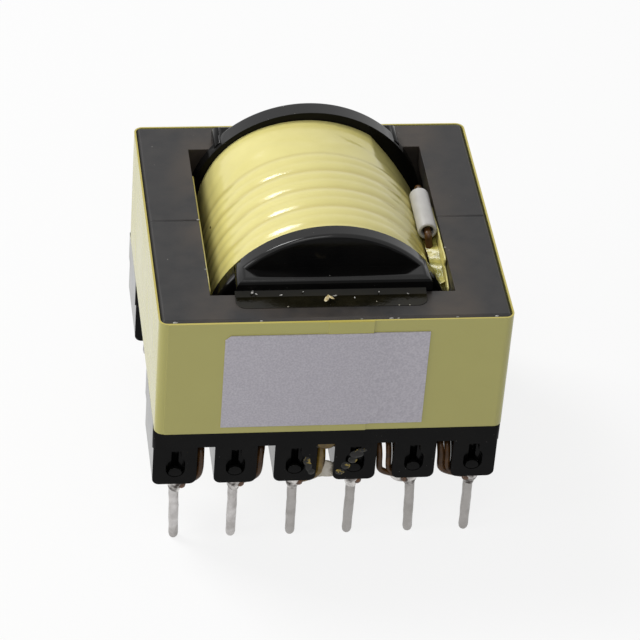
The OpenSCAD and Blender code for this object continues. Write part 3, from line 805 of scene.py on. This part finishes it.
def bent_wire(name, points, radius):
    """A round wire through the points, as one closed mesh."""
    bpy.ops.object.select_all(action="DESELECT")
    bpy.ops.curve.primitive_nurbs_path_add(location=(0, 0, 0))
    path = bpy.context.object
    path.data.splines.clear()
    spline = path.data.splines.new("NURBS")
    spline.points.add(len(points) - 1)
    for point, place in zip(spline.points, points):
        point.co = (*place, 1)
    spline.use_endpoint_u = True
    spline.order_u = 3
    spline.resolution_u = 5
    path.data.bevel_depth = radius
    path.data.bevel_resolution = 3
    path.data.use_fill_caps = True
    bpy.ops.object.convert(target="MESH")
    wire = name_it(name)
    open_for_edit(wire)
    bpy.ops.mesh.remove_doubles(threshold=0.001 * MM)
    bpy.ops.mesh.normals_make_consistent(inside=False)
    return close_up(wire, 60)


for lead, (number, slot_x, parts) in strands.items():
    pin_x, pin_y, _ = middle_of(f"pin_{number}")
    foot_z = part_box(f"solder_{number}")[1].z
    row = -1 if number <= 6 else 1
    side = 1 if slot_x * MM > pin_x else -1
    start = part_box(f"lead_{lead}")
    inner_y = start[1].y if row < 0 else start[0].y
    outer = abs(slot_x) > outer_slot
    lift = outer_lift if outer else 0.0
    for strand, (upper, lower, radius) in enumerate(parts):
        top_x = pin_x + side * (post_half + upper * MM)
        low_x = pin_x + side * (post_half + lower * MM)
        from_x = slot_x * MM * (outer_share if outer else inner_share)
        from_x += side * strand * strand_apart
        route = [
            (from_x, inner_y - row * 0.3 * MM, coil_under + lift + 0.15 * MM),
            (from_x * 1.05, inner_y + row * 0.9 * MM, coil_under + lift - 0.1 * MM),
            (top_x, pin_y - row * 2.6 * MM, plate_under - 0.7 * MM),
            (top_x, pin_y - row * 0.5 * MM, plate_under - 0.9 * MM),
            (low_x, pin_y + row * 0.25 * MM, plate_under - 1.9 * MM),
            (low_x, pin_y + row * 0.3 * MM, foot_z + 1.2 * MM),
            (low_x - side * 0.12 * MM, pin_y + row * 0.25 * MM, foot_z + 0.35 * MM),
            (pin_x + side * 1.15 * MM, pin_y + row * 0.15 * MM, foot_z - 0.22 * MM),
            (pin_x + side * 0.35 * MM, pin_y, foot_z - 0.5 * MM),
        ]
        wire = bent_wire(f"lead_wire_{lead}_{strand + 1}", route, radius * MM)
        if lead == varnished_lead:
            dress(wire, amber, "amber_lead")
        else:
            dress(wire, enamel, "lead_wire")
    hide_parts(f"lead_{lead}")

# The lead in the sleeve comes from under the wrap beside the coil and ends at the last pin
sleeve_low, sleeve_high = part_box("lead_sleeve")
sleeve_middle = (sleeve_low + sleeve_high) / 2
pin_x, pin_y, _ = middle_of("pin_12")
foot_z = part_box("solder_12")[1].z
beside_post = pin_x - post_half - 0.38 * MM
sleeved_radius = 0.33 * MM
beside_coil = ((9.35, -3.4, 1.0), (9.3, -3.1, 2.6), (9.15, -2.7, 4.1), (9.0, -2.3, 5.1))
behind_coil = ((9.25, 5.2, 5.0), (9.5, 6.4, 3.4), (10.0, 7.3, 0.0), (9.45, 7.4, -4.0),
               (8.7, 7.6, -6.2))
route = [step(core_middle, *place) for place in beside_coil]
route += [(sleeve_middle.x, along, sleeve_middle.z)
          for along in (sleeve_low.y, sleeve_middle.y, sleeve_high.y)]
route += [step(core_middle, *place) for place in behind_coil]
route += [
    (10.0 * MM, pin_y - 3.7 * MM, plate_under - 0.9 * MM),
    (beside_post, pin_y - 0.4 * MM, plate_under - 1.1 * MM),
    (beside_post, pin_y, plate_under - 2 * MM),
    (beside_post, pin_y, foot_z + 0.9 * MM),
    (beside_post + 0.3 * MM, pin_y, foot_z - 0.05 * MM),
    (pin_x - 1.0 * MM, pin_y, foot_z - 0.35 * MM),
    (pin_x - 0.35 * MM, pin_y, foot_z - 0.5 * MM),
]
sleeved = bent_wire("sleeved_lead_wire", route, sleeved_radius)
dress(sleeved, enamel, "lead_wire", "sleeved_lead")

# ---- Sleeve -----------------------------------------------------------------------------
# A short piece of waxy white fluoropolymer tube, cut from a length and slid on the last lead
# before that was soldered. Its cut ends are rounded off.
tube_low = sleeve_low + Vector((0, 0.3, 0)) * MM
tube_high = sleeve_high - Vector((0, 0.6, 0)) * MM
tube_middle = (tube_low + tube_high) / 2
tube_wall = 0.3 * MM
hollow_share = 0.55
cut_round = 0.16 * MM

sleeve_white, tree, shader, patches = grained(
    "white_sleeve", fine=0.3, patch=1.5, contrast=1.4, gloss=(0.25, 0.42), bump=(0.2, 0.04))
paint(tree, shader, (0.42, 0.41, 0.39), (patches, (0.55, 0.54, 0.52)))

bpy.ops.mesh.primitive_cylinder_add(
    vertices=40, radius=(tube_high.x - tube_low.x) / 2, depth=tube_high.y - tube_low.y,
    location=tube_middle, rotation=(math.pi / 2, 0, 0))
sleeve = name_it("white_sleeve_tube")
open_for_edit(sleeve)
pick(sleeve, "FACE", lambda face: len(face.verts) > 4)
bpy.ops.mesh.inset(thickness=tube_wall)
bpy.ops.mesh.extrude_region_move(TRANSFORM_OT_translate={"value": (0, 0, 0)})
bpy.ops.transform.resize(value=(1, hollow_share, 1), center_override=tube_middle)
bpy.ops.object.mode_set(mode="OBJECT")
round_edges(sleeve, cut_round, 3, 50)
ripple(sleeve, "soft_tube", 2.5 * MM, 0.06 * MM)
close_up(sleeve, 50)
dress(sleeve, sleeve_white, "sleeve", "lead_sleeve")

# ---- Tape ends ----------------------------------------------------------------------------
# The wrap's loose end stands up beside the right leg, creased where it was folded, and a strip
# of the same film is stuck along the left leg.
crease_sizes = {"loose_tape_end": (2.2 * MM, 0.12 * MM), "leg_strip": (3.0 * MM, 0.03 * MM)}
longest_edge = 0.6 * MM
fold_from, fold_to = -7.2, -1.7
fold_height, fold_climb, fold_crinkle = 3.7, 0.75, 0.1
fold_outer, coil_reach = 9.76, 9.72
fold_thickness = 0.06 * MM

for node, name, coat in (("tape_tail", "loose_tape_end", yellow_wrap),
                         ("leg_tape", "leg_strip", film_over_core)):
    strip = copy_of(node, name)
    open_for_edit(strip)
    bpy.ops.mesh.quads_convert_to_tris()
    for cut in range(3):
        pick(strip, "EDGE", lambda edge: edge.calc_length() > longest_edge)
        bpy.ops.mesh.subdivide(number_cuts=1)
    bpy.ops.object.mode_set(mode="OBJECT")
    size, strength = crease_sizes[name]
    ripple(strip, f"{name}_creases", size, strength, "X")
    close_up(strip, 50)
    dress(strip, coat, "core_tape", node)

# The film's lower part, still stuck to the coil: it closes the gap beside it
creased_film_and_shade, tree, shader, patches = grained(
    "creased_film_and_shade", fine=0.3, patch=1.3, contrast=3.2, gloss=(0.12, 0.3), bump=(0.6, 0.1), IOR=1.6)
# Its dark olive base is painted shade on the film; the pale blotches are the film's own yellow
paint(tree, shader, (0.16, 0.16, 0.03), (patches, (0.56, 0.5, 0.14)))
bpy.ops.mesh.primitive_grid_add(x_subdivisions=6, y_subdivisions=40, size=1 * MM,
                                location=core_middle)
fold = name_it("loose_tape_fold")
for vertex in fold.data.vertices:
    across, along = vertex.co.x / MM + 0.5, vertex.co.y / MM + 0.5
    level = fold_height + fold_climb * along + fold_crinkle * math.sin(along * 17 + across * 2)
    at_coil = math.sqrt(coil_reach ** 2 - level ** 2) + 0.1
    vertex.co = Vector((at_coil + (fold_outer - at_coil) * across,
                        fold_from + (fold_to - fold_from) * along,
                        level + 0.5 * across * (1 - 0.5 * along))) * MM
thick = fold.modifiers.new("film", "SOLIDIFY")
thick.thickness = fold_thickness
close_up(fold, 60)
dress(fold, creased_film_and_shade, "core_tape")

# ---- Varnish -------------------------------------------------------------------------------
# Varnish that ran out of the coil: a dark pool in front of the ledge with flakes of dust in it,
# an amber drip between the middle posts, a pale web below it and crusts on the two posts.
pool_low, pool_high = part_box("varnish_bead")
pool_middle_x = (pool_low.x + pool_high.x) / 2
pool_round = 0.12 * MM
# Flakes caught in the pool: place across, distance in front of the ledge, size; gold ones first
flakes = ((-0.45, 1.25, 0.3), (-0.1, 1.1, 0.2), (0.2, 0.9, 0.12), (-6.4, 0.25, 0.16),
          (-6.1, 0.5, 0.08), (-4.1, 0.7, 0.09), (3.9, 0.5, 0.08), (6.2, 0.8, 0.07),
          (-2.3, 0.3, 0.07), (1.8, 1.2, 0.08))
gold_flakes = 2
flake_lift = 0.01 * MM
post_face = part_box("bobbin")[0].y + 0.1 * MM
posts_foot_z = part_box("solder_3")[1].z
pin_3_x, pin_4_x = middle_of("pin_3").x, middle_of("pin_4").x

dark_varnish, tree, shader, patches = grained(
    "dark_varnish", fine=0.25, patch=1.5, contrast=2.0, gloss=(0.06, 0.2), bump=(0.3, 0.04),
    Specular_IOR_Level=0.2)
specks = use_group(tree, dust, Cell=0.45, Speck=0.14, Share=0.25, Settled=0.6)["Specks"]
paint(tree, shader, (0.005, 0.0045, 0.0025), (patches, (0.013, 0.011, 0.005)),
      (specks, (0.4, 0.37, 0.3)))

flake_gold, tree, shader, patches = grained(
    "flake_gold", fine=0.08, patch=0.25, contrast=3.0, gloss=(0.2, 0.45))
paint(tree, shader, (0.5, 0.36, 0.12), (patches, (0.75, 0.7, 0.5)))

gold_crust, tree, shader, patches = grained(
    "gold_crust", fine=0.2, patch=0.5, contrast=3.0, gloss=(0.06, 0.3), bump=(0.6, 0.08),
    Specular_IOR_Level=0.3)
veins = add_node(tree, "MapRange", {0: patches, 1: 0.66, 2: 0.9}).outputs[0]
paint(tree, shader, (0.004, 0.0035, 0.002), (veins, (0.34, 0.25, 0.05)))

pale_web, tree, shader, patches = grained(
    "pale_web", fine=0.2, patch=0.8, contrast=2.0, gloss=(0.15, 0.35), bump=(0.3, 0.05),
    Specular_IOR_Level=0.6)
paint(tree, shader, (0.6, 0.57, 0.52), (patches, (0.4, 0.35, 0.24)))

pool = copy_of("varnish_bead", "varnish_pool")
round_edges(pool, pool_round, 3, 20)
close_up(pool, 60, flat_faces=True)
dress(pool, dark_varnish, "varnish", "varnish_bead")
recoat(amber, "varnish_drip")

for number, (across, before, size) in enumerate(flakes, 1):
    bpy.ops.mesh.primitive_ico_sphere_add(
        subdivisions=2, radius=size * MM, rotation=(0.1, 0, number * 1.1), location=(
            pool_middle_x + across * MM, pool_high.y - before * MM, pool_high.z + flake_lift))
    flake = name_it(f"varnish_flake_{number}")
    flake.scale = (1.6, 0.6, 0.25)
    ripple(flake, "flake_form", 0.25 * MM, 0.16 * MM)
    close_up(flake, 20)
    if number <= gold_flakes:
        dress(flake, flake_gold, "amber_varnish")
    else:
        dress(flake, chipped, "ferrite")

# name, finish, middle, then the blobs that flow together: place and half sizes, in millimetres
runs = (
    ("crust_post_3", gold_crust, (pin_3_x, post_face), (
        ((0.95, 0, 2.1), (0.3, 0.07, 0.45)), ((1.15, 0, 1.5), (0.28, 0.08, 0.5)),
        ((1.4, 0, 0.95), (0.3, 0.09, 0.32)))),
    ("crust_post_4", gold_crust, (pin_4_x, post_face), (
        ((0.5, 0, 3.1), (0.45, 0.08, 0.2)), ((0.1, 0, 2.7), (0.6, 0.1, 0.4)),
        ((-0.2, 0, 2.1), (0.4, 0.1, 0.35)), ((-0.75, 0, 1.5), (0.4, 0.08, 0.4)),
        ((-1.2, 0, 0.85), (0.4, 0.09, 0.3)))),
    ("web_between_posts", pale_web, ((pin_3_x + pin_4_x) / 2, post_face + 0.55 * MM), (
        ((0.1, 0, 0.9), (0.85, 0.3, 0.75)), ((-0.4, 0, 0.35), (0.85, 0.3, 0.4)),
        ((0.4, 0, 0.3), (0.9, 0.3, 0.36)), ((-1.2, 0.2, -0.1), (0.7, 0.25, 0.22)),
        ((-1.9, 0.3, -0.35), (0.5, 0.25, 0.25)))),
)
for name, coat, (middle_x, middle_y), blobs in runs:
    crust = None
    for place, half_sizes in blobs:
        ball(step(Vector((middle_x, middle_y, posts_foot_z)), *place), half_sizes,
             segments=24, rings=12)
        if crust:
            add_to(crust)
        else:
            crust = name_it(name)
    flow_together(crust, 0.06, 3, f"{name}_skin", 0.6, 0.1)
    dress(crust, coat, "amber_varnish")
